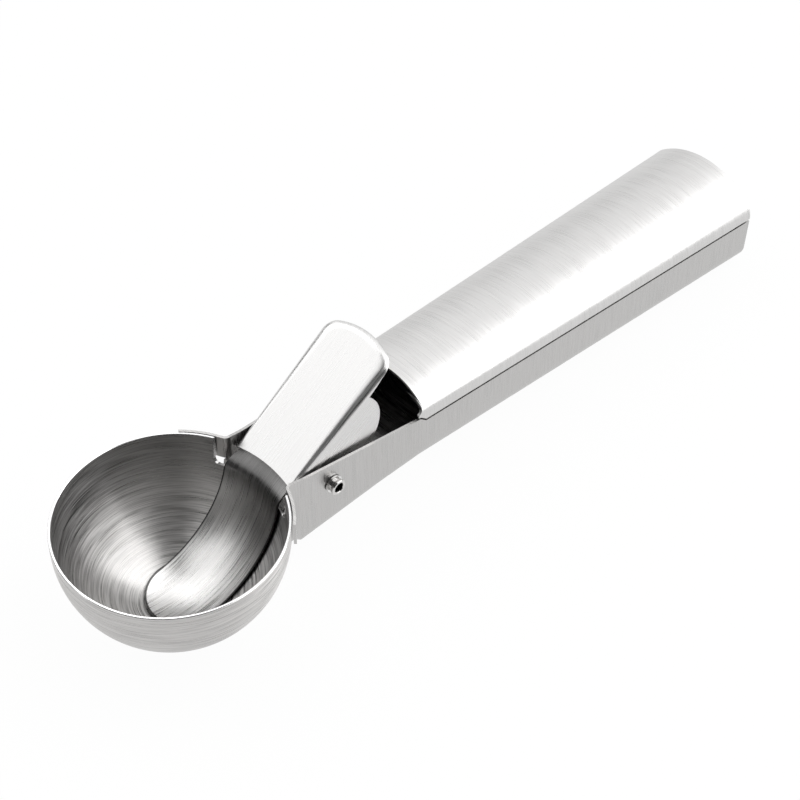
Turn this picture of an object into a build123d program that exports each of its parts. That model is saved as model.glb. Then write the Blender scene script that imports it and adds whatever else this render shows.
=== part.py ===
from build123d import *
from math import acos, asin, atan2, cos, degrees, hypot, pi, radians, sin, sqrt, tan
import os

# Thumb-lever ice cream scoop in pressed stainless steel, sizes in millimetres.
# The model is drawn with its origin at the centre of the bowl's sphere, X along the
# handle and Z up, and is moved to its resting place on the table when it is written.

# ---------------------------------------------------------------- driving dimensions
BOWL_R = 28.0                # outer radius of the bowl's hemisphere
BOWL_SHEET = 0.7
BOWL_BAND = 2.9              # straight band between hemisphere and rim
RIM_CHAMFER = 0.15           # broken edge of the rim, inside and outside
NOTCH_WIDTH = 25.4           # cut-out in the rim that the scraper swings through
NOTCH_DEPTH = 8.3
NOTCH_CORNER_R = 1.6

SHELL_SHEET = 0.7            # both handle pressings
THROAT_LEAD = 0.5            # the channel's mouth begins this far inside the bowl's outside
THROAT_HALF_WIDTH = 10.95
OPENING_BEHIND_BOWL = 41.5   # bowl to the rear edge of the lever opening
OPENING_HALF_WIDTH = 13.25
GRIP_LENGTH = 121.2          # closed part of the handle, along its own axis
END_HALF_WIDTH = 17.1
HEEL_CLEARANCE = 0.0306      # end of the grip over the table that the bowl rests on
SEAM_DROP = 8.05             # rim to the seam between the two pressings, at the opening
CHANNEL_DEPTH = 14.43        # seam to the underside of the grip
FLOOR_FLAT = 0.03            # the underside of the grip is pressed flat by this much
FLOOR_FLAT_START = 1.0       # behind the opening
CHANNEL_CORNER_R = 5.0
THROAT_FLOOR_Z = -20.9
THROAT_CORNER_R = 2.6
WAIST_BEHIND_BOWL = 27.0     # where the underside is closest to the bowl's rim plane
WAIST_FLOOR_Z = -19.5
TOE_BEHIND_BOWL = 0.6        # the floor steps up here to meet the bowl
TOE_FLOOR_Z = -19.3
TOE_LENGTH = 1.8
ARCH_RISE_FRONT = 7.1        # crown of the upper pressing above the seam
ARCH_RISE_END = 10.6
ARCH_SHOULDER_R_FRONT = 2.2  # radius between the crown and the sides
ARCH_SHOULDER_R_END = 6.0
ARCH_FOOT_FRONT = 2.6        # straight part of the sides above the seam
ARCH_FOOT_END = 0.5
WALL_TOP_DROP = 0.6          # rim to the top of the side walls, at the bowl
WALL_TOP_SLOPE = 0.15        # fall of the side walls' top edge per millimetre
STEP_BEFORE_OPENING = 1.2    # the walls step down to the seam here
STEP_RUN = 1.8
SEAM_GAP = 0.6
SEAM_LIP_DEPTH = 2.6         # inner lip of the upper pressing, inside the channel
SEAM_LIP_FIT = 0.1
OPENING_EDGE_BOW = 1.4       # how far the opening's rear edge bows back at its middle
OPENING_CORNER_R = 3.2

BOWL_FIT = 0.15              # gap between channel and bowl before welding
EAR_HEIGHT = 6.5
EAR_TOP_DROP = 0.2           # rim to the top of the ears
EAR_TOP_RUN = 4.0            # the walls' top edge climbs to the ears over this length
EAR_END_ANGLE = 45.5         # degrees round the bowl from the handle's axis
EAR_FIT = 0.3                # gap between ear and bowl
EAR_BEND_R = 1.5

CAP_SHEET = 0.8
CAP_SKIRT = 4.0
CAP_FIT = 0.1
CAP_INSET = 0.25

PIVOT_BEHIND_BOWL = 12.2
PIVOT_Z = -6.0
PIN_R = 1.7
PIN_BORE_R = 1.3
PIN_FIT = 0.05               # radial clearance in the channel walls
PIN_RUNNING_FIT = 0.08       # radial clearance in the lever's flanges
PIN_STAND_OUT = 2.3          # pin end beyond the channel wall
PIN_LIP_R = 2.1
PIN_LIP_LENGTH = 0.55
PIN_LIP_CHAMFER = 0.18
PIN_BEAD_R = 1.98
PIN_BEAD_LENGTH = 0.3
WASHER_R = 2.35
WASHER_THICKNESS = 0.5
WASHER_STAND_OFF = 0.2
SLEEVE_R = 2.5
SLEEVE_FIT = 0.1
SLEEVE_END_GAP = 0.35

LEVER_ANGLE = 32.7           # rise of the thumb pad at rest, in degrees
LEVER_RISE = 10.9            # pivot to the pad's top face
LEVER_FRONT = 7.0            # pivot forward to the pad's front corners, along the pad
LEVER_FRONT_BOW = 1.3        # how far the front edge bows back at its middle
LEVER_BACK = 33.9            # pivot back to the pad's rear edge, along the pad
LEVER_SHEET = 0.9
LEVER_FRONT_HALF_WIDTH = 9.85
LEVER_REAR_HALF_WIDTH = 11.0
LEVER_REAR_R = 20.0          # bow of the rear edge
LEVER_CORNER_R = 4.4         # rear corners in plan
LEVER_ROUND_DEPTH = 1.9      # depth of the rolled edge
LEVER_ROUND_FRONT = 0.95     # width of the rolled edge at the front, side and rear end
LEVER_ROUND_SIDE = 3.0
LEVER_ROUND_REAR = 2.2
LIP_DEPTH_REAR = 1.2         # depth of the rolled edge that is left at the rear corners
LIP_CORNER_RUN = 5.9         # from there to the rear edge
BOSS_R = 4.3                 # flange round the pivot
LOBE_BACK = 21.4             # pivot back to the lobe behind the flange
LOBE_MIDDLE = (19.7, -0.1)
LOBE_BOTTOM = (14.4, -4.2)

BLADE_SHEET = 0.5
BLADE_FIT = 0.35             # gap between scraper and bowl
BLADE_HALF_WIDTH = 9.4
BLADE_TIP_R = 9.6
BLADE_TIP_X = 2.0            # centre of the rounded tip
NECK_ANGLE = 12.0            # degrees below the rim plane where the scraper leaves the bowl's curve
NECK_LEAN = 45.0             # degrees from upright where the neck meets the pad
NECK_TOP_HALF_WIDTH = 8.8
NECK_STATIONS = 4
TANG_START = 0.3             # behind the pad's front edge at its middle
TANG_LENGTH = 8.5
TANG_LAP = 0.15              # how far the tang starts inside the neck
TANG_HALF_WIDTH = 8.4
TANG_FIT = 0.08

SPRING_COIL_R = 3.5
SPRING_WIRE_R = 0.45
SPRING_TURNS = 5
SPRING_PITCH = 1.1
SPRING_FLOOR_ANGLE = -33.0   # direction of the leg on the channel floor
SPRING_LEG_FIT = 0.15
SPRING_PAD_REACH = 14.0      # pivot to where the other leg meets the pad
SPRING_TAIL = 4.0
SPRING_BEND_R = 1.2
SPRING_JOIN = 0.2            # how far each leg starts inside the coil's end

# ---------------------------------------------------------------- derived dimensions
THROAT_X = BOWL_R - THROAT_LEAD
TOE_X = BOWL_R + TOE_BEHIND_BOWL
PIVOT_X = BOWL_R + PIVOT_BEHIND_BOWL
WAIST_X = BOWL_R + WAIST_BEHIND_BOWL
OPENING_X = BOWL_R + OPENING_BEHIND_BOWL
RIM_Z = BOWL_BAND
BOWL_INNER_R = BOWL_R - BOWL_SHEET
NOTCH_Z = RIM_Z - NOTCH_DEPTH
SEAM_Z = RIM_Z - SEAM_DROP
WALL_TOP_Z = RIM_Z - WALL_TOP_DROP
HEEL_REACH = hypot(GRIP_LENGTH, CHANNEL_DEPTH - FLOOR_FLAT)
HEEL_ANGLE = atan2(CHANNEL_DEPTH - FLOOR_FLAT, GRIP_LENGTH)
# the grip falls towards its end until its heel is level with the bottom of the bowl
GRIP_PITCH = degrees(asin((BOWL_R + SEAM_Z - HEEL_CLEARANCE) / HEEL_REACH) - HEEL_ANGLE)
THROAT_TAPER = (OPENING_HALF_WIDTH - THROAT_HALF_WIDTH) / (OPENING_X - THROAT_X)
GRIP_TAPER = (END_HALF_WIDTH - OPENING_HALF_WIDTH) / GRIP_LENGTH
HANDLE_END_X = OPENING_X + GRIP_LENGTH * cos(radians(GRIP_PITCH))
HANDLE_END_X += ARCH_RISE_END * sin(radians(GRIP_PITCH))
BIG = 4 * BOWL_R             # reach of cutting tools beyond the part


# Frame of the grip: origin on the seam at the opening, X along the grip.
GRIP = Pos(OPENING_X, 0, SEAM_Z) * Rot(0, GRIP_PITCH, 0)
# Frame of the lever: origin at the pivot, X along the pad at rest.
LEVER = Pos(PIVOT_X, 0, PIVOT_Z) * Rot(0, -LEVER_ANGLE, 0)
# Where the part is written: the middle of its length over the table it rests on.
ROW = Pos(-(HANDLE_END_X - BOWL_R) / 2, 0, BOWL_R)


def half_width_at(x):
    """Half width of the open channel, between the bowl and the opening."""
    return THROAT_HALF_WIDTH + THROAT_TAPER * (x - THROAT_X)


def grip_half_width_at(s):
    """Half width of the closed grip, s behind the opening."""
    return OPENING_HALF_WIDTH + GRIP_TAPER * s


def wall_top_at(x):
    """Height of the side walls' top edge, between the bowl and the opening."""
    return WALL_TOP_Z - WALL_TOP_SLOPE * (x - THROAT_X)


def seam_at(x):
    """Height of the seam between the two pressings."""
    return SEAM_Z - tan(radians(GRIP_PITCH)) * (x - OPENING_X)


# ---------------------------------------------------------------- helpers
def cross_plane(x):
    """Upright plane across the handle: its X is the part's Y, its Y points up."""
    return Plane(origin=(x, 0, 0), x_dir=(0, 1, 0), z_dir=(1, 0, 0))


def side_prism(outline, half_depth=BIG):
    """Prism through the part from an outline in the X-Z plane, given as edges."""
    return extrude(make_face(outline), amount=half_depth, dir=(0, 1, 0), both=True)


def polygon_xz(points):
    """Closed outline through (x, z) points in the X-Z plane."""
    return Polyline(*[(x, 0, z) for x, z in points], close=True)


def y_cylinder(radius, y_from, y_to):
    """Cylinder along Y at the pivot."""
    length = y_to - y_from
    return Pos(PIVOT_X, (y_from + y_to) / 2, PIVOT_Z) * Rot(90, 0, 0) * Cylinder(radius, length)


def both_sides(shape):
    """A shape and its mirror image on the other side of the handle."""
    return shape + mirror(shape, about=Plane.XZ)


def trough_section(half_width, top, bottom, corner_r):
    """Channel outline, open corners up and rounded corners down."""
    height = top - bottom
    box = Pos(0, (top + bottom) / 2) * Rectangle(2 * half_width, height)
    return fillet(box.vertices().group_by(Axis.Y)[0], corner_r)


def arch_outline_at(s, inset, below):
    """Three-centred arch over the seam at s, moved in by inset, with feet down to below."""
    share = s / GRIP_LENGTH
    half_width = grip_half_width_at(s) - inset
    rise = ARCH_RISE_FRONT + (ARCH_RISE_END - ARCH_RISE_FRONT) * share - inset
    shoulder = ARCH_SHOULDER_R_FRONT + (ARCH_SHOULDER_R_END - ARCH_SHOULDER_R_FRONT) * share - inset
    foot = ARCH_FOOT_FRONT + (ARCH_FOOT_END - ARCH_FOOT_FRONT) * share
    across = half_width - shoulder
    crown = (across ** 2 + (rise - foot) ** 2 - shoulder ** 2) / (2 * (rise - foot - shoulder))
    # the crown arc and the shoulder arc touch on the line through their centres
    lean = atan2(across, foot - rise + crown)
    meet = (across + shoulder * sin(lean), foot + shoulder * cos(lean))
    bulge = (across + shoulder * sin((lean + pi / 2) / 2), foot + shoulder * cos((lean + pi / 2) / 2))
    right = ThreePointArc((half_width, foot), bulge, meet)
    top = ThreePointArc(meet, (0, rise), (-meet[0], meet[1]))
    left = ThreePointArc((-meet[0], meet[1]), (-bulge[0], bulge[1]), (-half_width, foot))
    feet = Polyline((-half_width, foot), (-half_width, -below), (half_width, -below), (half_width, foot))
    return make_face(right + top + left + feet)


# ---------------------------------------------------------------- bowl
def make_bowl():
    """Hemisphere with a short straight band and the cut-out for the scraper."""
    outer_arc = CenterArc((0, 0), BOWL_R, -90, 90)
    inner_arc = CenterArc((0, 0), BOWL_INNER_R, -90, 90)
    rim = Polyline(
        (BOWL_R, 0), (BOWL_R, RIM_Z - RIM_CHAMFER), (BOWL_R - RIM_CHAMFER, RIM_Z),
        (BOWL_INNER_R + RIM_CHAMFER, RIM_Z), (BOWL_INNER_R, RIM_Z - RIM_CHAMFER), (BOWL_INNER_R, 0),
    )
    axis_line = Line((0, -BOWL_R), (0, -BOWL_INNER_R))
    profile = Plane.XZ * make_face(outer_arc + rim + inner_arc + axis_line)
    bowl = revolve(profile, axis=Axis.Z)
    opening = trough_section(NOTCH_WIDTH / 2, RIM_Z + 1, NOTCH_Z, NOTCH_CORNER_R)
    return bowl - extrude(cross_plane(BOWL_R / 2) * opening, amount=BOWL_R)


# ---------------------------------------------------------------- handle pressings
def channel_solid(inset, overrun=0.0):
    """Solid filling of the channel, moved in by inset and longer and higher by overrun."""
    stations = [
        (BOWL_R / 2 - overrun, TOE_FLOOR_Z, THROAT_CORNER_R),
        (TOE_X, TOE_FLOOR_Z, THROAT_CORNER_R),
        (TOE_X + TOE_LENGTH, THROAT_FLOOR_Z, THROAT_CORNER_R),
        (WAIST_X, WAIST_FLOOR_Z, (THROAT_CORNER_R + CHANNEL_CORNER_R) / 2),
    ]
    sections = []
    for x, floor, corner in stations:
        top = WALL_TOP_Z + 2 + overrun
        outline = trough_section(half_width_at(x) - inset, top, floor + inset, corner - inset)
        sections.append(cross_plane(x) * outline)
    for s in (0, GRIP_LENGTH + 2 + overrun):
        half = grip_half_width_at(s) - inset
        top = SEAM_DROP + overrun
        outline = trough_section(half, top, inset - CHANNEL_DEPTH, CHANNEL_CORNER_R - inset)
        sections.append(GRIP * (cross_plane(s) * outline))
    return loft(sections, ruled=True)


def ear():
    """Strip bent outwards from the near side wall and wrapped round the bowl."""
    middle_r = BOWL_R + EAR_FIT + SHELL_SHEET / 2
    start_x = TOE_X + TOE_LENGTH
    wall_angle = atan2(THROAT_TAPER, 1)
    start = Vector(start_x, -half_width_at(start_x) + SHELL_SHEET / 2)
    # where the wall's middle line meets the middle of the wrapped strip
    along = Vector(-cos(wall_angle), sin(wall_angle))
    reach = -start.dot(along)
    reach -= sqrt(reach ** 2 - start.dot(start) + middle_r ** 2)
    corner = start + along * reach
    corner_angle = degrees(atan2(corner.Y, corner.X))
    wrapped = CenterArc((0, 0), middle_r, corner_angle, -EAR_END_ANGLE - corner_angle)
    path = Wire([Line(start, corner), wrapped])
    bend = path.vertices().sort_by_distance(corner)[0]
    path = path.fillet_2d(EAR_BEND_R, [bend])
    strip = trace(path.edges(), SHELL_SHEET)
    return Pos(0, 0, WALL_TOP_Z - EAR_HEIGHT) * extrude(strip, amount=EAR_HEIGHT + WALL_TOP_DROP)


def make_lower_shell():
    """Channel with side walls, floor and the two ears that hold the bowl."""
    shell = channel_solid(0) - channel_solid(SHELL_SHEET, overrun=2)
    # the walls end at the bend of the ears, and below the ears they meet the bowl
    ear_zone = Pos(0, 0, WALL_TOP_Z - EAR_HEIGHT + BIG / 2) * Box(2 * (TOE_X + TOE_LENGTH), BIG, BIG)
    shell -= ear_zone
    shell += both_sides(ear())
    shell -= Sphere(BOWL_R + BOWL_FIT)
    shell -= Pos(0, 0, BIG / 2) * Cylinder(BOWL_R + BOWL_FIT, BIG)
    step_x = OPENING_X - STEP_BEFORE_OPENING
    far_x = HANDLE_END_X + BOWL_R
    ear_top = RIM_Z - EAR_TOP_DROP
    top_edge = [
        (0, ear_top),
        (THROAT_X, ear_top),
        (THROAT_X + EAR_TOP_RUN, wall_top_at(THROAT_X + EAR_TOP_RUN)),
        (step_x, wall_top_at(step_x)),
        (step_x + STEP_RUN, seam_at(step_x + STEP_RUN) - SEAM_GAP / 2),
        (far_x, seam_at(far_x) - SEAM_GAP / 2),
        (far_x, BIG),
        (0, BIG),
    ]
    shell -= side_prism(polygon_xz(top_edge))
    shell -= GRIP * Pos(GRIP_LENGTH + BIG / 2, 0, 0) * Box(BIG, BIG, BIG)
    under = FLOOR_FLAT - CHANNEL_DEPTH - BIG / 2
    shell -= GRIP * Pos(GRIP_LENGTH / 2 + FLOOR_FLAT_START, 0, under) * Box(GRIP_LENGTH, BIG, BIG)
    return shell - y_cylinder(PIN_R + PIN_FIT, -BOWL_R, BOWL_R)


def arch_solid(inset, overrun=0.0):
    """Solid filling under the upper pressing, moved in by inset and longer by overrun."""
    stations = (-3 - overrun, GRIP_LENGTH + 2 + overrun)
    outlines = [cross_plane(s) * arch_outline_at(s, inset, 2 + overrun) for s in stations]
    return loft([GRIP * outline for outline in outlines], ruled=True)


def seam_lip():
    """Inner lip of the upper pressing, inside the near wall of the channel."""
    sections = []
    for s in (STEP_RUN, GRIP_LENGTH - CAP_SKIRT - CAP_INSET - 1):
        wall = grip_half_width_at(s)
        outer = wall - SHELL_SHEET - SEAM_LIP_FIT
        inner = outer - SHELL_SHEET
        low = SEAM_GAP / 2 + 0.1
        high = low + SHELL_SHEET
        outline = Polyline(
            (-outer, -SEAM_LIP_DEPTH), (-outer, low), (-wall + SHELL_SHEET / 2, low),
            (-wall + SHELL_SHEET / 2, high), (-inner, high), (-inner, -SEAM_LIP_DEPTH), close=True,
        )
        sections.append(GRIP * (cross_plane(s) * make_face(outline)))
    return loft(sections, ruled=True)


def make_upper_shell():
    """Arched cover of the grip, with the bowed and rounded edge of the opening."""
    shell = arch_solid(0) - arch_solid(SHELL_SHEET, overrun=2)
    step_x = OPENING_X - STEP_BEFORE_OPENING
    far_x = HANDLE_END_X + BOWL_R
    low_edge = [
        (0, wall_top_at(0) + SEAM_GAP),
        (step_x, wall_top_at(step_x) + SEAM_GAP),
        (step_x + STEP_RUN, seam_at(step_x + STEP_RUN) + SEAM_GAP / 2),
        (far_x, seam_at(far_x) + SEAM_GAP / 2),
        (far_x, -BIG),
        (0, -BIG),
    ]
    shell -= side_prism(polygon_xz(low_edge))
    # the rear edge of the opening runs forward into two small tabs on the walls
    tab_top = wall_top_at(OPENING_X) + SEAM_GAP + SHELL_SHEET
    corner_top = (OPENING_X, 0, tab_top + OPENING_CORNER_R)
    corner_front = (OPENING_X - OPENING_CORNER_R, 0, tab_top)
    mid = OPENING_CORNER_R * (1 - sqrt(0.5))
    corner = ThreePointArc(corner_top, (OPENING_X - mid, 0, tab_top + mid), corner_front)
    rest = Polyline(corner_front, (0, 0, tab_top), (0, 0, BIG), (OPENING_X, 0, BIG), corner_top)
    shell -= side_prism(corner + rest)
    shell -= Pos(OPENING_X - STEP_BEFORE_OPENING - SEAM_GAP - BIG / 2, 0, 0) * Box(BIG, BIG, BIG)
    bow_foot = OPENING_HALF_WIDTH - SHELL_SHEET
    bow = ThreePointArc((OPENING_X, -bow_foot), (OPENING_X + OPENING_EDGE_BOW, 0), (OPENING_X, bow_foot))
    lens = make_face(bow + Line((OPENING_X, bow_foot), (OPENING_X, -bow_foot)))
    shell -= Pos(0, 0, SEAM_Z) * extrude(lens, amount=BIG)
    shell += both_sides(seam_lip())
    return shell - GRIP * Pos(GRIP_LENGTH + BIG / 2, 0, 0) * Box(BIG, BIG, BIG)


def make_end_cap():
    """Shallow pressed cup that closes the end of the grip."""
    s = GRIP_LENGTH - CAP_INSET - CAP_SKIRT

    def outline(inset):
        upper = arch_outline_at(s, inset, CHANNEL_DEPTH / 2)
        half = grip_half_width_at(s) - inset
        return upper + trough_section(half, 0.1, inset - CHANNEL_DEPTH, CHANNEL_CORNER_R - inset)

    outer = SHELL_SHEET + CAP_FIT
    cup = extrude(cross_plane(s) * outline(outer), amount=CAP_SKIRT)
    hollow = extrude(cross_plane(s) * outline(outer + CAP_SHEET), amount=CAP_SKIRT - CAP_SHEET)
    return GRIP * (cup - hollow)


# ---------------------------------------------------------------- pivot
def make_pin():
    """Hollow rivet through walls, flanges and sleeve, with a bead and a rolled lip at each end."""
    end = half_width_at(PIVOT_X) + PIN_STAND_OUT
    bead = end - PIN_STAND_OUT + WASHER_STAND_OFF + 2 * WASHER_THICKNESS
    lip = end - PIN_LIP_LENGTH
    half = [
        (0, PIN_R), (bead, PIN_R), (bead, PIN_BEAD_R), (bead + PIN_BEAD_LENGTH, PIN_BEAD_R),
        (bead + PIN_BEAD_LENGTH, PIN_R), (lip, PIN_R), (lip, PIN_LIP_R), (end - PIN_LIP_CHAMFER, PIN_LIP_R),
        (end, PIN_LIP_R - PIN_LIP_CHAMFER), (end, PIN_BORE_R + PIN_LIP_CHAMFER),
        (end - PIN_LIP_CHAMFER, PIN_BORE_R), (0, PIN_BORE_R),
    ]
    section = make_face(Polyline(*[(r, y, 0) for y, r in half], close=True))
    return both_sides(Pos(PIVOT_X, 0, PIVOT_Z) * revolve(section, axis=Axis.Y))


def make_washers():
    """Two washers on the rivet, outside the channel walls."""
    near = half_width_at(PIVOT_X) + WASHER_STAND_OFF
    ring = y_cylinder(WASHER_R, near, near + WASHER_THICKNESS)
    ring -= y_cylinder(PIN_R + PIN_FIT, near - 1, near + WASHER_THICKNESS + 1)
    return both_sides(ring)


def make_sleeve():
    """Spacer tube round the rivet, between the lever's flanges."""
    length = lever_half_width_at(0) - LEVER_SHEET - SLEEVE_END_GAP
    tube = y_cylinder(SLEEVE_R, -length, length)
    return tube - y_cylinder(PIN_R + SLEEVE_FIT, -length - 1, length + 1)


def bent_leg(start, corner, end):
    """Leg of the spring from inside the coil's end, round one bend, to its tip."""
    first = start + (start - corner).normalized() * SPRING_JOIN
    path = FilletPolyline(first, corner, end, radius=SPRING_BEND_R)
    return sweep(Plane(path @ 0, z_dir=path % 0) * Circle(SPRING_WIRE_R), path=path)


def make_spring():
    """Torsion spring: coil round the sleeve, one leg on the floor, one under the thumb pad."""
    under_pad = LEVER_RISE - LEVER_SHEET - SPRING_WIRE_R - SPRING_LEG_FIT
    reach = sqrt(SPRING_PAD_REACH ** 2 + under_pad ** 2)
    floor_turn = SPRING_FLOOR_ANGLE - 90
    pad_turn = LEVER_ANGLE + degrees(atan2(under_pad, SPRING_PAD_REACH) + acos(SPRING_COIL_R / reach))
    turns = SPRING_TURNS + ((floor_turn - pad_turn) % 360) / 360
    length = turns * SPRING_PITCH

    # eight-sided wire of the same area keeps the coil's mesh light
    section = RegularPolygon(SPRING_WIRE_R * sqrt(pi / (2 * sqrt(2))), 8)
    path = Helix(SPRING_PITCH, length, SPRING_COIL_R, lefthand=True)
    wire = sweep(Plane(path @ 0, z_dir=path % 0) * section, path=path)
    coil = Pos(PIVOT_X, length / 2, PIVOT_Z) * Rot(90, 0, 0) * Rot(0, 0, floor_turn) * wire

    def on_coil(turn, y):
        across = SPRING_COIL_R * cos(radians(turn))
        up = SPRING_COIL_R * sin(radians(turn))
        return Vector(PIVOT_X + across, y, PIVOT_Z + up)

    floor_start = on_coil(floor_turn, length / 2)
    floor_dir = Vector(cos(radians(SPRING_FLOOR_ANGLE)), 0, sin(radians(SPRING_FLOOR_ANGLE)))
    floor_z = WAIST_FLOOR_Z + SHELL_SHEET + SPRING_WIRE_R + SPRING_LEG_FIT
    floor_end = floor_start + floor_dir * ((floor_z - floor_start.Z) / floor_dir.Z)
    floor_leg = bent_leg(floor_start, floor_end, floor_end + Vector(SPRING_TAIL, 0, 0))

    pad_start = on_coil(pad_turn, -length / 2)
    pad_touch = (LEVER * Pos(SPRING_PAD_REACH, -length / 2, under_pad)).position
    pad_tip = (LEVER * Pos(SPRING_PAD_REACH + SPRING_TAIL, -length / 2, under_pad)).position
    return coil + floor_leg + bent_leg(pad_start, pad_touch, pad_tip)


# ---------------------------------------------------------------- thumb lever
def lever_half_width_at(u):
    """Half width of the thumb lever, u behind the pivot."""
    taper = (LEVER_REAR_HALF_WIDTH - LEVER_FRONT_HALF_WIDTH) / (LEVER_BACK + LEVER_FRONT)
    return LEVER_FRONT_HALF_WIDTH + taper * (u + LEVER_FRONT)


def pad_outline(height, inset, sheet):
    """Face across the lever at a height, pulled in by a share of the rolled edge and the sheet."""
    front = -LEVER_FRONT - LEVER_SHEET - sheet
    front_half = lever_half_width_at(front) - sheet - max(LEVER_ROUND_FRONT - sheet, 0.05) * inset
    rear_half = lever_half_width_at(LEVER_BACK) - sheet - max(LEVER_ROUND_SIDE - sheet, 0.05) * inset
    rear_inset = sheet + max(LEVER_ROUND_REAR - sheet, 0.05) * inset
    back = LEVER_BACK - rear_inset
    bow_r = LEVER_REAR_R - rear_inset
    corner = back - bow_r + sqrt(bow_r ** 2 - rear_half ** 2)
    rear = ThreePointArc((corner, rear_half), (back, 0), (corner, -rear_half))
    rest = Polyline((corner, -rear_half), (front, -front_half), (front, front_half), (corner, rear_half))
    outline = make_face(rear + rest)
    outline = fillet(outline.vertices().group_by(Axis.X)[-1], LEVER_CORNER_R - sheet)
    return Pos(0, 0, height) * outline


def pad_solid(sheet):
    """Solid filling of the lever down past its flanges, its outside moved in by sheet."""
    depth = LEVER_ROUND_DEPTH - sheet if sheet else LEVER_ROUND_DEPTH
    levels = []
    for k in range(5):
        turn = pi / 2 * k / 4
        height = LEVER_RISE - sheet - depth * (1 - cos(turn))
        levels.append(pad_outline(height, 1 - sin(turn), sheet))
    crown = loft(levels)
    skirt = extrude(levels[-1], amount=-(LEVER_RISE + 2 * BOSS_R + sheet))
    return crown + skirt


def flange_profile():
    """Side view of the lever in its own frame: pad, rear lip, lobe and pivot boss."""
    lip_z = LEVER_RISE - LEVER_ROUND_DEPTH
    brow_z = lip_z - BOSS_R / 5
    reach = sqrt(LEVER_FRONT ** 2 + brow_z ** 2)
    tangent = 90 + degrees(atan2(LEVER_FRONT, brow_z) + acos(BOSS_R / reach))
    boss_start = (BOSS_R * cos(radians(tangent)), 0, BOSS_R * sin(radians(tangent)))
    boss_mid_turn = (tangent + 270) / 2
    boss_mid = (BOSS_R * cos(radians(boss_mid_turn)), 0, BOSS_R * sin(radians(boss_mid_turn)))
    boss_end = (0, 0, -BOSS_R)
    lobe_bottom = (LOBE_BOTTOM[0], 0, LOBE_BOTTOM[1])
    lobe_mid = (LOBE_MIDDLE[0], 0, LOBE_MIDDLE[1])
    lobe_top = (LOBE_BACK, 0, lip_z)
    lip_corner = (LEVER_BACK - LIP_CORNER_RUN, 0, LEVER_RISE - LIP_DEPTH_REAR)
    back = LEVER_BACK + 1
    top = LEVER_RISE + 1
    front = -LEVER_FRONT
    lines = Polyline((front, 0, brow_z), boss_start) + ThreePointArc(boss_start, boss_mid, boss_end)
    lines += Line(boss_end, lobe_bottom) + ThreePointArc(lobe_bottom, lobe_mid, lobe_top)
    lines += Polyline(
        lobe_top, lip_corner, (back, 0, lip_corner[2]), (back, 0, top), (front, 0, top), (front, 0, brow_z),
    )
    return lines


def make_lever():
    """Thumb pad with rolled edge and two flanges that carry the pivot."""
    lever = pad_solid(0) - pad_solid(LEVER_SHEET)
    lever &= side_prism(flange_profile())
    half = lever_half_width_at(-LEVER_FRONT)
    bow = ThreePointArc((-LEVER_FRONT, -half), (LEVER_FRONT_BOW - LEVER_FRONT, 0), (-LEVER_FRONT, half))
    lens = make_face(bow + Line((-LEVER_FRONT, half), (-LEVER_FRONT, -half)))
    lever -= extrude(lens, amount=2 * LEVER_RISE)
    lever = LEVER * lever
    return lever - y_cylinder(PIN_R + PIN_RUNNING_FIT, -BOWL_R, BOWL_R)


# ---------------------------------------------------------------- scraper
def make_scraper():
    """Spherical strip along the bowl whose neck curves out into a tang under the pad."""
    outer_r = BOWL_INNER_R - BLADE_FIT
    inner_r = outer_r - BLADE_SHEET
    plan = Pos(BLADE_TIP_X, 0) * Circle(BLADE_TIP_R)
    plan += Pos((BOWL_R + BLADE_TIP_X) / 2, 0) * Rectangle(BOWL_R - BLADE_TIP_X, 2 * BLADE_HALF_WIDTH)
    column = Pos(0, 0, -BOWL_R) * extrude(plan, amount=BOWL_R)
    strip = (Sphere(outer_r) - Sphere(inner_r)) & column
    strip -= Rot(0, NECK_ANGLE, 0) * Pos(0, 0, BIG / 2) * Box(BIG, BIG, BIG)

    tang_top = LEVER_RISE - LEVER_SHEET - TANG_FIT
    tang_start = LEVER_FRONT_BOW - LEVER_FRONT + TANG_START
    foot = Rot(0, NECK_ANGLE, 0) * Pos(outer_r, 0, 0)
    fold = LEVER * Pos(tang_start, 0, tang_top - BLADE_SHEET)
    foot_dir = (sin(radians(NECK_ANGLE)), 0, cos(radians(NECK_ANGLE)))
    fold_dir = (sin(radians(NECK_LEAN)), 0, cos(radians(NECK_LEAN)))
    path = Spline(foot.position, fold.position, tangents=[foot_dir, fold_dir])

    def band(t):
        """Section across the neck, as bowed as the bowl at its foot and flat at the fold."""
        half = NECK_TOP_HALF_WIDTH + (BLADE_HALF_WIDTH - NECK_TOP_HALF_WIDTH) * (1 - t) ** 2
        share = (1 - t) ** 3 * (1 + 3 * t + 6 * t ** 2)
        outer_bow = (outer_r - sqrt(outer_r ** 2 - half ** 2)) * share
        inner_bow = (inner_r - sqrt(inner_r ** 2 - half ** 2)) * share
        ends = [(-outer_bow, -half), (-outer_bow, half), (-BLADE_SHEET - inner_bow, half)]
        ends.append((-BLADE_SHEET - inner_bow, -half))
        if t == 1:
            outline = Polyline(*ends, close=True)
        else:
            outline = ThreePointArc(ends[0], (0, 0), ends[1]) + Line(ends[1], ends[2])
            outline += ThreePointArc(ends[2], (-BLADE_SHEET, 0), ends[3]) + Line(ends[3], ends[0])
        tangent = path % t
        outward = Vector(tangent.Z, 0, -tangent.X)
        return Plane(path @ t, x_dir=outward, z_dir=tangent) * make_face(outline)

    neck = loft([band(k / NECK_STATIONS) for k in range(NECK_STATIONS + 1)])
    tang = Box(TANG_LENGTH, 2 * TANG_HALF_WIDTH, BLADE_SHEET)
    tang = fillet(tang.edges().filter_by(Axis.Z).group_by(Axis.X)[-1], 2.0)
    middle = tang_start - TANG_LAP + TANG_LENGTH / 2
    return strip + neck + LEVER * Pos(middle, 0, tang_top - BLADE_SHEET / 2) * tang


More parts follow.
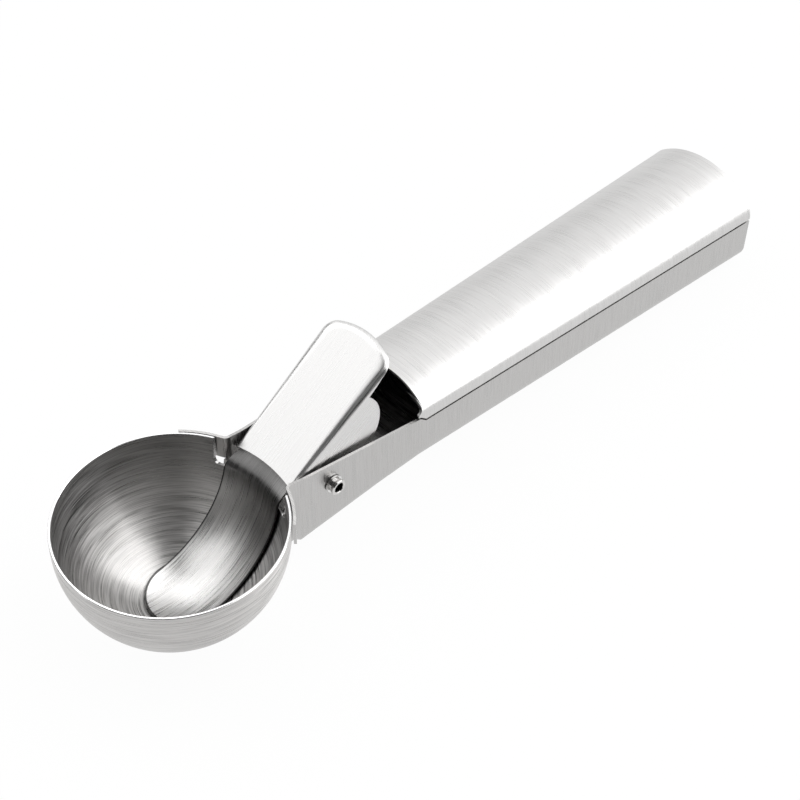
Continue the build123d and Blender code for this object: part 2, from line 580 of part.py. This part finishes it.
# ---------------------------------------------------------------- write the parts
NODES = {
    "bowl": make_bowl,
    "handle_lower_shell": make_lower_shell,
    "handle_upper_shell": make_upper_shell,
    "handle_end_cap": make_end_cap,
    "pivot_rivet": make_pin,
    "pivot_washers": make_washers,
    "spacer_sleeve": make_sleeve,
    "return_spring": make_spring,
    "thumb_lever": make_lever,
    "scraper_blade": make_scraper,
}

os.makedirs("parts", exist_ok=True)
for name, make in NODES.items():
    part = ROW * make()
    part.label = name
    export_step(part, f"parts/{name}.step")
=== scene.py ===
"""Thumb-lever ice cream scoop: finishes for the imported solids, table, soft lamps and camera.

Everything is in metres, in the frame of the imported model: +X runs from the bowl to the end of
the grip, +Z points up, and the table is at Z = 0.
"""
from __future__ import annotations

import logging
import math
from dataclasses import dataclass
from enum import Enum

import bpy
from mathutils import Matrix, Vector


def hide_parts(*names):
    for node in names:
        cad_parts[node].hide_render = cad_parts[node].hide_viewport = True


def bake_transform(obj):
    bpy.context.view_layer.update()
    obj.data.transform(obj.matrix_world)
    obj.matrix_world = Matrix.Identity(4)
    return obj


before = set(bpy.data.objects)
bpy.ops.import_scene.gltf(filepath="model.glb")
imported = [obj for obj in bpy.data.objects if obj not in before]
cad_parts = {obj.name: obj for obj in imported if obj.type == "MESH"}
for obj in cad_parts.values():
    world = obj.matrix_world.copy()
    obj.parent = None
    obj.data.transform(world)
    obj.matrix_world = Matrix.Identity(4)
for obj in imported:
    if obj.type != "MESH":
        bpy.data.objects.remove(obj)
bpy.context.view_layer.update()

LOG = logging.getLogger("scoop")
MM = 0.001
RADIAN_DEG = math.degrees(1.0)
NOISE_ROUGHNESS = 0.6
WHITE = (1.0, 1.0, 1.0, 1.0)


# ---------------------------------------------------------------- shader arithmetic
class Channel:
    """One output socket of a node tree that takes part in Python arithmetic."""

    def __init__(self, graph: "Graph", socket: bpy.types.NodeSocket) -> None:
        """Wrap a socket.

        Args:
            graph: the tree that new nodes go into.
            socket: the output that this channel stands for.
        """
        self.graph = graph
        self.socket = socket

    def _math(self, operation: str, *values: "Channel | float") -> "Channel":
        """Add one Math node.

        Args:
            operation: the Math node's operation.
            values: its inputs in order.

        Returns:
            The node's result.
        """
        inputs = dict(enumerate(values))
        return self.graph.node("ShaderNodeMath", {"operation": operation}, inputs).out("Value")

    def __add__(self, other: "Channel | float") -> "Channel":
        """Sum."""
        return self._math("ADD", self, other)

    def __radd__(self, other: float) -> "Channel":
        """Reflected sum."""
        return self._math("ADD", other, self)

    def __sub__(self, other: "Channel | float") -> "Channel":
        """Difference."""
        return self._math("SUBTRACT", self, other)

    def __rsub__(self, other: float) -> "Channel":
        """Reflected difference, so that 1 - mask works."""
        return self._math("SUBTRACT", other, self)

    def __mul__(self, other: "Channel | float") -> "Channel":
        """Product."""
        return self._math("MULTIPLY", self, other)

    def __rmul__(self, other: float) -> "Channel":
        """Reflected product."""
        return self._math("MULTIPLY", other, self)

    def root(self) -> "Channel":
        """Square root."""
        return self._math("SQRT", self)

    def magnitude(self) -> "Channel":
        """Absolute value."""
        return self._math("ABSOLUTE", self)

    def arcsine(self) -> "Channel":
        """Arcsine in radians."""
        return self._math("ARCSINE", self)

    def at_least(self, low: float) -> "Channel":
        """The value, or low where it is less."""
        return self._math("MAXIMUM", self, low)

    def at_most(self, high: float) -> "Channel":
        """The value, or high where it is more."""
        return self._math("MINIMUM", self, high)

    def angle_to(self, other: "Channel") -> "Channel":
        """Angle of the point (other, self), as atan2 gives it."""
        return self._math("ARCTAN2", self, other)

    def between(self, low: float, high: float) -> "Channel":
        """Smooth mask that is 0 at low and 1 at high.

        Args:
            low: the value that gives 0.
            high: the value that gives 1.

        Returns:
            The mask, kept between 0 and 1.
        """
        kind = {"interpolation_type": "SMOOTHSTEP", "clamp": True}
        limits = {"Value": self, "From Min": low, "From Max": high, "To Min": 0.0, "To Max": 1.0}
        return self.graph.node("ShaderNodeMapRange", kind, limits).out("Result")


class Step:
    """A node that has just been added, whose outputs are read by name."""

    def __init__(self, graph: "Graph", node: bpy.types.Node) -> None:
        """Keep the node and its graph."""
        self.graph = graph
        self.node = node

    def out(self, name: str) -> Channel:
        """The output with this name."""
        return Channel(self.graph, self.node.outputs[name])


class Graph:
    """A node tree that is written as Python expressions."""

    def __init__(self, tree: bpy.types.NodeTree) -> None:
        """Start from an empty tree."""
        self.tree = tree
        tree.nodes.clear()

    def node(self, kind: str, settings: dict | None = None, inputs: dict | None = None) -> Step:
        """Add a node.

        Args:
            kind: the node's type.
            settings: its properties, which are set first.
            inputs: values or channels, by socket name or number.

        Returns:
            The node, ready to have its outputs read.
        """
        node = self.tree.nodes.new(kind)
        for name, value in (settings or {}).items():
            setattr(node, name, value)
        for name, value in (inputs or {}).items():
            if isinstance(value, Channel):
                self.tree.links.new(value.socket, node.inputs[name])
            else:
                node.inputs[name].default_value = value
        return Step(self, node)

    def noise(self, vector: Channel, detail: float) -> Channel:
        """Noise of scale 1 over a vector that already holds the scale.

        Args:
            vector: where the noise is read.
            detail: number of octaves.

        Returns:
            A value from 0 to 1, mostly near 0.5.
        """
        values = {"Vector": vector, "Scale": 1.0, "Detail": detail, "Roughness": NOISE_ROUGHNESS}
        return self.node("ShaderNodeTexNoise", {"noise_dimensions": "3D"}, values).out("Fac")

    def vector(self, x: Channel | float, y: Channel | float, z: Channel | float) -> Channel:
        """Vector of three values."""
        return self.node("ShaderNodeCombineXYZ", None, {"X": x, "Y": y, "Z": z}).out("Vector")

    def place(self) -> tuple[Channel, Channel, Channel]:
        """Read the shaded point's place.

        Returns:
            Its X, Y and Z in the part's frame, in metres.
        """
        point = self.node("ShaderNodeTexCoord").out("Object")
        split = self.node("ShaderNodeSeparateXYZ", None, {"Vector": point})
        return split.out("X"), split.out("Y"), split.out("Z")


# ---------------------------------------------------------------- finishes
class Grain(Enum):
    """How the brush has run over a piece."""

    ACROSS = "round the grip"
    ALONG = "along the thumb lever"
    TURNED = "round the bowl's axis"
    BLADE = "along the scraper"
    DRAWN = "no direction"


@dataclass(frozen=True)
class Steel:
    """Brushed stainless steel.

    Attributes:
        name: the material's name.
        grain: direction of the brush marks.
        shade: base colour.
        gloss: roughness between the marks.
        marks: how much rougher the marks are.
        depth_mm: depth of the marks.
        pitch_mm: distance between the marks.
        run_mm: length of a mark.
        broad: how many times wider the broad marks are.
        octaves: octaves of the fine and of the broad marks.
        mark_from: noise value at which a mark starts.
        mark_to: noise value at which it is full.
        streak: how much darker the steel is between the marks.
        stretch: anisotropy, 0 for none.
        turn: anisotropic rotation, where 0.25 is a right angle.
        polished: colour where the steel is polished, lifted as a painted highlight.
        polish_gain: share of the roughness that polish takes away.
    """

    name: str
    grain: Grain
    shade: tuple[float, float, float] = (0.72, 0.715, 0.71)
    gloss: float = 0.24
    marks: float = 0.16
    depth_mm: float = 0.006
    pitch_mm: float = 0.18
    run_mm: float = 14.0
    broad: float = 4.0
    octaves: tuple[float, float] = (1.0, 2.0)
    mark_from: float = 0.36
    mark_to: float = 0.64
    streak: float = 0.1
    stretch: float = 0.0
    turn: float = 0.0
    polished: float = 0.92
    polish_gain: float = 0.5

    def _marks(self, graph: Graph) -> tuple[Channel, Channel]:
        """Fine and broad brush marks.

        Args:
            graph: the material's graph.

        Returns:
            The fine marks and the broad marks, each from 0 to 1.
        """
        x, y, z = graph.place()
        fine = 1.0 / (self.pitch_mm * MM)
        slow = 1.0 / (self.run_mm * MM)
        scales = (fine, fine / self.broad)
        if self.grain is Grain.ACROSS:
            pair = [(x * scale, y * slow, z * slow) for scale in scales]
        elif self.grain is Grain.ALONG:
            tilt = math.radians(Lever.pad_rise_deg)
            above = z * math.cos(tilt) - x * math.sin(tilt)
            along = x * math.cos(tilt) + z * math.sin(tilt)
            pair = [
                ((y + above) * scale, along * slow, (y - above) * slow) for scale in scales]
        elif self.grain is Grain.BLADE:
            pair = [(y * scale, x * slow, z * slow) for scale in scales]
        elif self.grain is Grain.TURNED:
            aside = x - Bowl.centre_x
            reach = (aside * aside + y * y).root()
            drop = Bowl.centre_z - z
            arc = reach.angle_to(drop) * Bowl.radius
            pair = [(arc * scale, aside * slow, y * slow) for scale in scales]
        else:
            pair = [(x * scale, y * scale, z * scale) for scale in scales]
        fine_marks, broad_marks = (
            graph.noise(graph.vector(*scaled), detail)
            for scaled, detail in zip(pair, self.octaves))
        return fine_marks, broad_marks

    def _painted_shade_share(self, graph: Graph) -> Channel | float:
        """Share of the colour that painted shade leaves; a finish with painted shade says where."""
        return 1.0

    def _polish_and_highlight(self, graph: Graph) -> Channel | float:
        """How polished the steel is, 0 to 1, lowering roughness and lifting colour as a painted
        highlight; a finish with polished places says where.
        """
        return 0.0

    def make(self) -> bpy.types.Material:
        """Build the material.

        Returns:
            The new material.
        """
        material = bpy.data.materials.new(self.name)
        material.use_nodes = True
        graph = Graph(material.node_tree)
        fine_marks, broad_marks = self._marks(graph)
        mark = (fine_marks * 0.5 + broad_marks * 0.5).between(self.mark_from, self.mark_to)
        polish = self._polish_and_highlight(graph)
        # The tone carries the painted shade, and polished places are lifted towards the polished
        # colour as a painted highlight.
        tone = (1.0 - (1.0 - mark) * self.streak) * self._painted_shade_share(graph)
        red, green, blue = (
            tone * part * (1.0 - polish) + polish * self.polished for part in self.shade)
        colour = graph.node(
            "ShaderNodeCombineColor", None, {"Red": red, "Green": green, "Blue": blue})
        relief = graph.node("ShaderNodeBump", None, {
            "Strength": 1.0, "Distance": self.depth_mm * MM, "Height": fine_marks})
        shader = graph.node("ShaderNodeBsdfPrincipled", {"distribution": "GGX"}, {
            "Base Color": colour.out("Color"),
            "Metallic": 1.0,
            "Roughness": (self.gloss + mark * self.marks) * (1.0 - polish * self.polish_gain),
            "Anisotropic": self.stretch,
            "Anisotropic Rotation": self.turn,
            "Normal": relief.out("Normal")})
        graph.node("ShaderNodeOutputMaterial", None, {"Surface": shader.out("BSDF")})
        return material


@dataclass(frozen=True)
class RimmedSteel(Steel):
    """Brushed steel with a polished rim lifted by a painted highlight, and painted shade on the
    upper walls inside, for the bowl.

    Attributes:
        wall_painted_shade: share of the colour that painted shade takes from the walls inside, at
            the rim.
        skin: depth under each face at which the edge of the sheet starts.
        blend: width of the change from face to edge.
        edge_polish_and_highlight: polish of the sheet's edge in the cut-out, with its painted
            highlight.
        rim_height: height above the bowl's centre at which the polish and painted highlight are
            full.
    """

    wall_painted_shade: float = 0.55
    skin: float = 0.02 * MM
    blend: float = 0.03 * MM
    edge_polish_and_highlight: float = 0.3
    rim_height: float = 1.5 * MM

    def _painted_shade_share(self, graph: Graph) -> Channel:
        """Paint shade on the inside, darkening towards the rim.

        Args:
            graph: the material's graph.

        Returns:
            The share of the colour that is left.
        """
        face = Bowl.inner_radius + self.skin
        inside = 1.0 - Bowl.distance(graph).between(face, face + self.blend)
        height = graph.place()[2].between(Bowl.painted_shade_low, Bowl.painted_shade_high)
        return 1.0 - inside * height * self.wall_painted_shade

    def _polish_and_highlight(self, graph: Graph) -> Channel:
        """Polish the edge of the sheet, most of all on the rim: its roughness drops and its colour
        is lifted as a painted highlight.

        Args:
            graph: the material's graph.

        Returns:
            How polished the steel is, from 0 to 1.
        """
        reach = Bowl.distance(graph)
        inner, outer = Bowl.inner_radius + self.skin, Bowl.radius - self.skin
        inside = reach.between(inner, inner + self.blend)
        outside = 1.0 - reach.between(outer - self.blend, outer)
        rim = graph.place()[2].between(Bowl.centre_z, Bowl.centre_z + self.rim_height)
        return inside * outside * (self.edge_polish_and_highlight + rim * (1.0 - self.edge_polish_and_highlight))


@dataclass(frozen=True)
class BladeSteel(Steel):
    """Brushed steel with painted shade on its back, edge, upper half and neck, for the scraper.

    Attributes:
        back_painted_shade: share of the colour that painted shade takes from the face towards the
            bowl.
        back_from: depth under the inner face at which the back's painted shade starts.
        back_to: depth at which it is full.
        upper_painted_shade: share that painted shade takes from the upper half of the blade.
        neck_painted_shade: further share that painted shade takes from the neck under the pad.
        edge_painted_shade: share that painted shade takes from the edge of the blade.
        edge_from: distance from the edge at which its painted shade starts.
        edge_to: distance at which it is full.
    """

    back_painted_shade: float = 0.85
    back_from: float = 0.08 * MM
    back_to: float = 0.16 * MM
    upper_painted_shade: float = 0.5
    neck_painted_shade: float = 0.55
    edge_painted_shade: float = 0.88
    edge_from: float = 0.42 * MM
    edge_to: float = 0.2 * MM

    def _painted_shade_share(self, graph: Graph) -> Channel:
        """Paint shade on the back, the edge, the upper half and the neck under the pad.

        Args:
            graph: the material's graph.

        Returns:
            The share of the colour that is left.
        """
        x, y, z = graph.place()
        face = Scraper.inner_radius
        back = Bowl.distance(graph).between(face + self.back_from, face + self.back_to)
        back = back * (1.0 - z.between(Scraper.strip_end, Scraper.strip_top))
        upper = z.between(Scraper.upper_low, Scraper.upper_high)
        neck = z.between(Scraper.neck_low, Scraper.neck_high)
        ahead = (x - Scraper.tip_centre_x).at_most(0.0)
        from_middle = (ahead * ahead + y * y).root()
        rim = Scraper.half_width
        edge = from_middle.between(rim - self.edge_from, rim - self.edge_to)
        left = (1.0 - back * self.back_painted_shade) * (1.0 - upper * self.upper_painted_shade)
        return left * (1.0 - neck * self.neck_painted_shade) * (1.0 - edge * self.edge_painted_shade)


@dataclass(frozen=True)
class BoredSteel(Steel):
    """Polished steel with painted shade in the bore, for the hollow rivet.

    Attributes:
        bore_painted_shade: share of the colour that painted shade takes from the bore's wall.
        bore_blend: width of the change at the bore's mouth.
    """

    bore_painted_shade: float = 0.92
    bore_blend: float = 0.1 * MM

    def _painted_shade_share(self, graph: Graph) -> Channel:
        """Paint shade into the inside of the bore.

        Args:
            graph: the material's graph.

        Returns:
            The share of the colour that is left.
        """
        x, _, z = graph.place()
        aside, above = x - Pivot.axis_x, z - Pivot.axis_z
        reach = (aside * aside + above * above).root()
        bore = 1.0 - reach.between(Pivot.bore_radius, Pivot.bore_radius + self.bore_blend)
        return 1.0 - bore * self.bore_painted_shade


# ---------------------------------------------------------------- sub-assemblies
def dress(node: str, material: bpy.types.Material) -> None:
    """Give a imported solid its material.

    Args:
        node: the solid's name.
        material: the finish that takes every slot.
    """
    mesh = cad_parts[node].data
    if not mesh.materials:
        mesh.materials.append(material)
    for index in range(len(mesh.materials)):
        mesh.materials[index] = material
    LOG.info("%s is finished as %s", node, material.name)


@dataclass
class Bowl:
    """The hemispherical bowl.

    Attributes:
        centre_x: X of the ball that the bowl is half of.
        centre_z: Z of its centre.
        radius: outer radius.
        inner_radius: inner radius.
        painted_shade_low: height inside at which the painted shade on the walls starts.
        painted_shade_high: height at which the painted shade is darkest.
    """

    centre_x: float = -81.57 * MM
    centre_z: float = 28.0 * MM
    radius: float = 28.0 * MM
    inner_radius: float = 27.3 * MM
    painted_shade_low: float = 8.0 * MM
    painted_shade_high: float = 24.0 * MM

    @classmethod
    def distance(cls, graph: Graph) -> Channel:
        """Distance of the shaded point from the bowl's centre, or from its axis above the centre.

        Args:
            graph: the material's graph.

        Returns:
            The distance in metres.
        """
        x, y, z = graph.place()
        aside = x - cls.centre_x
        under = (cls.centre_z - z).at_least(0.0)
        return (aside * aside + y * y + under * under).root()

    def build(self) -> None:
        """Dress the bowl."""
        finish = RimmedSteel(
            "turned_bowl_steel", Grain.TURNED, shade=(0.77, 0.757, 0.745), gloss=0.27,
            stretch=0.9, turn=0.25, pitch_mm=0.17, depth_mm=0.018, streak=0.45)
        dress("bowl", finish.make())


@dataclass
class Handle:
    """The two pressings of the handle and its end cap."""

    def build(self) -> None:
        """Dress the handle."""
        cover = Steel(
            "cover_steel_brushed_across", Grain.ACROSS, shade=(0.665, 0.66, 0.655), gloss=0.27,
            streak=0.1, marks=0.05, depth_mm=0.0014)
        # The lower pressing and the end cap take a darker copy of the cover's steel: painted shade
        # on the handle's lower part.
        channel = Steel(
            "channel_steel_brushed_across", Grain.ACROSS, shade=(0.56, 0.553, 0.546),
            streak=0.16, depth_mm=0.005)
        dress("handle_upper_shell", cover.make())
        for node in ("handle_lower_shell", "handle_end_cap"):
            dress(node, channel.make())


@dataclass
class Lever:
    """The thumb lever.

    Attributes:
        pad_rise_deg: how steeply the pad rises towards the grip.
    """

    pad_rise_deg: float = 32.7

    def build(self) -> None:
        """Dress the lever."""
        finish = Steel(
            "lever_steel_brushed_along", Grain.ALONG, shade=(0.745, 0.74, 0.735), streak=0.1,
            depth_mm=0.002)
        dress("thumb_lever", finish.make())


@dataclass
class Scraper:
    """The scraper on the lever's front edge.

    Attributes:
        inner_radius: radius of the blade's inner face.
        tip_centre_x: X of the middle of its rounded tip.
        half_width: half of its width.
        strip_end: height at which the painted shade of its back starts to fade.
        strip_top: height at which the blade's curve ends.
        upper_low: height at which the upper half's painted shade starts.
        upper_high: height at which it is full.
        neck_low: height at which the neck's painted shade starts.
        neck_high: height at which it is full.
    """

    inner_radius: float = 26.45 * MM
    tip_centre_x: float = -79.57 * MM
    half_width: float = 9.4 * MM
    strip_end: float = 21.0 * MM
    strip_top: float = 22.0 * MM
    upper_low: float = 6.5 * MM
    upper_high: float = 15.0 * MM
    neck_low: float = 17.0 * MM
    neck_high: float = 24.0 * MM

    def build(self) -> None:
        """Dress the scraper."""
        finish = BladeSteel(
            "scraper_steel_brushed_along", Grain.BLADE, shade=(0.9, 0.89, 0.88), gloss=0.25,
            pitch_mm=0.14, depth_mm=0.03, streak=0.34)
        dress("scraper_blade", finish.make())


@dataclass
class Pivot:
    """Rivet, washers, spacer and spring.

    Attributes:
        axis_x: X of the pivot's axis.
        axis_z: Z of the axis.
        bore_radius: radius of the hollow in the rivet.
        leg_turn_deg: direction of the spring's upper leg, from +X towards +Z; not used.
        leg_start: distance from the axis at which the leg starts to follow the lever; not used.
        leg_end: distance at which it follows it fully; not used.
    """

    axis_x: float = -41.372 * MM
    axis_z: float = 22.0 * MM
    bore_radius: float = 1.3 * MM
    leg_turn_deg: float = 52.0
    leg_start: float = 4.3 * MM
    leg_end: float = 9.0 * MM

    def build_spring(self) -> None:
        """Add a copy of the return spring's wire with its own finish, and hide the imported spring.
        """
        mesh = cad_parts["return_spring"].data.copy()
        wire = bpy.data.objects.new("return_spring_wire", mesh)
        bpy.context.scene.collection.objects.link(wire)
        finish = Steel("spring_wire", Grain.DRAWN, shade=(0.5, 0.5, 0.5), gloss=0.3)
        mesh.materials.clear()
        mesh.materials.append(finish.make())
        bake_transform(wire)
        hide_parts("return_spring")
        LOG.info("%s bends between the handle and the lever", wire.name)

    def build(self) -> None:
        """Dress the pivot's pieces and add the spring."""
        bright = Steel("polished_steel", Grain.DRAWN, gloss=0.12, marks=0.08, streak=0.04).make()
        for node in ("pivot_washers", "spacer_sleeve"):
            dress(node, bright)
        rivet = BoredSteel(
            "rivet_steel", Grain.DRAWN, shade=(0.62, 0.61, 0.6), gloss=0.1, marks=0.08,
            streak=0.04)
        dress("pivot_rivet", rivet.make())
        self.build_spring()


@dataclass(frozen=True)
class SkyPatch:
    """Soft-edged pale panel of the surroundings.

    Attributes:
        azimuth: its middle, in degrees from +X towards +Y.
        half_width: half of its width, in degrees of azimuth.
        low: height of its lower edge, in degrees.
        high: height of its upper edge, in degrees.
        soft: width of its edges, in degrees.
        level: how bright it is, where 1 is white.
    """

    azimuth: float
    half_width: float
    low: float
    high: float
    soft: float
    level: float

    def add(self, x: Channel, y: Channel, rise: Channel) -> Channel:
        """Work out the patch's light.

        Args:
            x: X of the direction looked in.
            y: Y of that direction.
            rise: its height in degrees.

        Returns:
            The light that the patch adds.
        """
        turn = math.radians(self.azimuth)
        ahead = x * math.cos(turn) + y * math.sin(turn)
        aside = y * math.cos(turn) - x * math.sin(turn)
        off = aside.angle_to(ahead).magnitude() * RADIAN_DEG
        fade = self.soft / 2
        within = 1.0 - off.between(self.half_width - fade, self.half_width + fade)
        above = rise.between(self.low - fade, self.low + fade)
        below = 1.0 - rise.between(self.high - fade, self.high + fade)
        return within * above * below * self.level


@dataclass(frozen=True)
class Softbox:
    """Flat soft lamp that looks at the part.

    Attributes:
        name: the lamp's name.
        azimuth: direction to the lamp from +X towards +Y, in degrees.
        elevation: its height above the table, in degrees.
        width: its width.
        height: its height.
        level: how bright its face is, where 1 is white.
        reach: its distance from the part.
    """

    name: str
    azimuth: float
    elevation: float
    width: float
    height: float
    level: float
    reach: float = 1.2

    def build(self) -> None:
        """Add the lamp."""
        turn, rise = math.radians(self.azimuth), math.radians(self.elevation)
        flat = math.cos(rise)
        away = Vector((math.cos(turn) * flat, math.sin(turn) * flat, math.sin(rise)))
        lamp = bpy.data.lights.new(self.name, "AREA")
        lamp.shape = "RECTANGLE"
        lamp.size, lamp.size_y = self.width, self.height
        lamp.energy = self.level * math.pi * lamp.size * lamp.size_y
        holder = bpy.data.objects.new(self.name, lamp)
        holder.location = away * self.reach
        holder.rotation_euler = away.to_track_quat("Z", "Y").to_euler()
        bpy.context.scene.collection.objects.link(holder)
        LOG.info("%s is set up", self.name)


@dataclass
class Studio:
    """Table, soft lamps and camera.

    Attributes:
        table_half: half of the table's side.
        table_white: colour of the table in the lamps' light.
        table_glow: how far the table shows as plain white where it is looked at.
        camera_at: the camera's place.
        camera_right: direction to the right of its picture.
        camera_up: direction to the top of its picture.
        camera_back: direction from the part to the camera.
        lens_mm: focal length.
        sensor_mm: width of the sensor.
        surround: level of the light between the panels.
        patches: pale panels of the surroundings.
        softboxes: the lamps.
    """

    table_half: float = 6.0
    table_white: float = 0.9
    table_glow: float = 0.96
    camera_at: tuple[float, float, float] = (-0.277668, -0.27382, 0.428835)
    camera_right: tuple[float, float, float] = (0.713747, -0.700398, 0.00262)
    camera_up: tuple[float, float, float] = (0.5108, 0.523087, 0.682249)
    camera_back: tuple[float, float, float] = (-0.479216, -0.485615, 0.731116)
    lens_mm: float = 101.5
    sensor_mm: float = 36.0
    surround: float = 0.07
    patches: tuple[SkyPatch, ...] = (
        SkyPatch(azimuth=15.0, half_width=62.0, low=60.0, high=92.0, soft=16.0, level=1.15),
        SkyPatch(azimuth=46.0, half_width=34.0, low=28.0, high=62.0, soft=20.0, level=1.1),
        SkyPatch(azimuth=46.0, half_width=30.0, low=-16.0, high=28.0, soft=16.0, level=0.85),
        SkyPatch(azimuth=94.0, half_width=22.0, low=16.0, high=56.0, soft=14.0, level=0.9),
        SkyPatch(azimuth=-8.0, half_width=20.0, low=10.0, high=62.0, soft=24.0, level=1.35),
    )
    softboxes: tuple[Softbox, ...] = (
        Softbox("key_softbox", azimuth=-50.0, elevation=38.0, width=1.2, height=1.8, level=2.0),
        Softbox(
            "far_left_softbox", azimuth=125.0, elevation=52.0, width=1.5, height=1.25,
            level=1.3),
    )

    def build_table(self) -> None:
        """Add the white table."""
        half = self.table_half
        mesh = bpy.data.meshes.new("table")
        corners = [(-half, -half, 0), (half, -half, 0), (half, half, 0), (-half, half, 0)]
        mesh.from_pydata(corners, [], [(0, 1, 2, 3)])
        table = bpy.data.objects.new("table", mesh)
        bpy.context.scene.collection.objects.link(table)
        material = bpy.data.materials.new("white_table")
        material.use_nodes = True
        graph = Graph(material.node_tree)
        path = graph.node("ShaderNodeLightPath")
        seen = path.out("Is Camera Ray") + path.out("Is Glossy Ray")
        seen = seen + path.out("Is Transmission Ray")
        pale = (self.table_white, self.table_white, self.table_white, 1.0)
        paint = graph.node("ShaderNodeBsdfDiffuse", None, {"Color": pale})
        glow = graph.node("ShaderNodeEmission", None, {"Color": WHITE, "Strength": 1.0})
        share = seen.between(0.0, 1.0) * self.table_glow
        mix = graph.node("ShaderNodeMixShader", None, {
            "Fac": share, 1: paint.out("BSDF"), 2: glow.out("Emission")})
        graph.node("ShaderNodeOutputMaterial", None, {"Surface": mix.out("Shader")})
        mesh.materials.append(material)

    def build_sky(self) -> None:
        """Set the dim surroundings and the pale panels in them."""
        world = bpy.data.worlds.new("studio_sky")
        world.use_nodes = True
        bpy.context.scene.world = world
        graph = Graph(world.node_tree)
        way = graph.node("ShaderNodeTexCoord").out("Generated")
        split = graph.node("ShaderNodeSeparateXYZ", None, {"Vector": way})
        x, y, z = split.out("X"), split.out("Y"), split.out("Z")
        rise = z.arcsine() * RADIAN_DEG
        level = self.surround + self.patches[0].add(x, y, rise)
        for patch in self.patches[1:]:
            level = level + patch.add(x, y, rise)
        sky = graph.node("ShaderNodeBackground", None, {"Color": WHITE, "Strength": level})
        graph.node("ShaderNodeOutputWorld", None, {"Surface": sky.out("Background")})

    def build_camera(self) -> None:
        """Add the camera."""
        data = bpy.data.cameras.new("camera")
        data.sensor_width = self.sensor_mm
        data.lens = self.lens_mm
        camera = bpy.data.objects.new("camera", data)
        axes = Matrix((self.camera_right, self.camera_up, self.camera_back)).transposed()
        camera.matrix_world = Matrix.Translation(self.camera_at) @ axes.to_4x4()
        bpy.context.scene.collection.objects.link(camera)
        bpy.context.scene.camera = camera

    def build(self) -> None:
        """Set up the studio."""
        bpy.context.scene.view_settings.view_transform = "Standard"
        self.build_camera()
        self.build_table()
        self.build_sky()
        for softbox in self.softboxes:
            softbox.build()


def main() -> None:
    """Dress the scoop and set up the studio."""
    logging.basicConfig(level=logging.INFO)
    for assembly in (Bowl(), Handle(), Lever(), Scraper(), Pivot(), Studio()):
        assembly.build()
        LOG.info("%s is done", type(assembly).__name__)


if __name__ == "__main__":
    main()
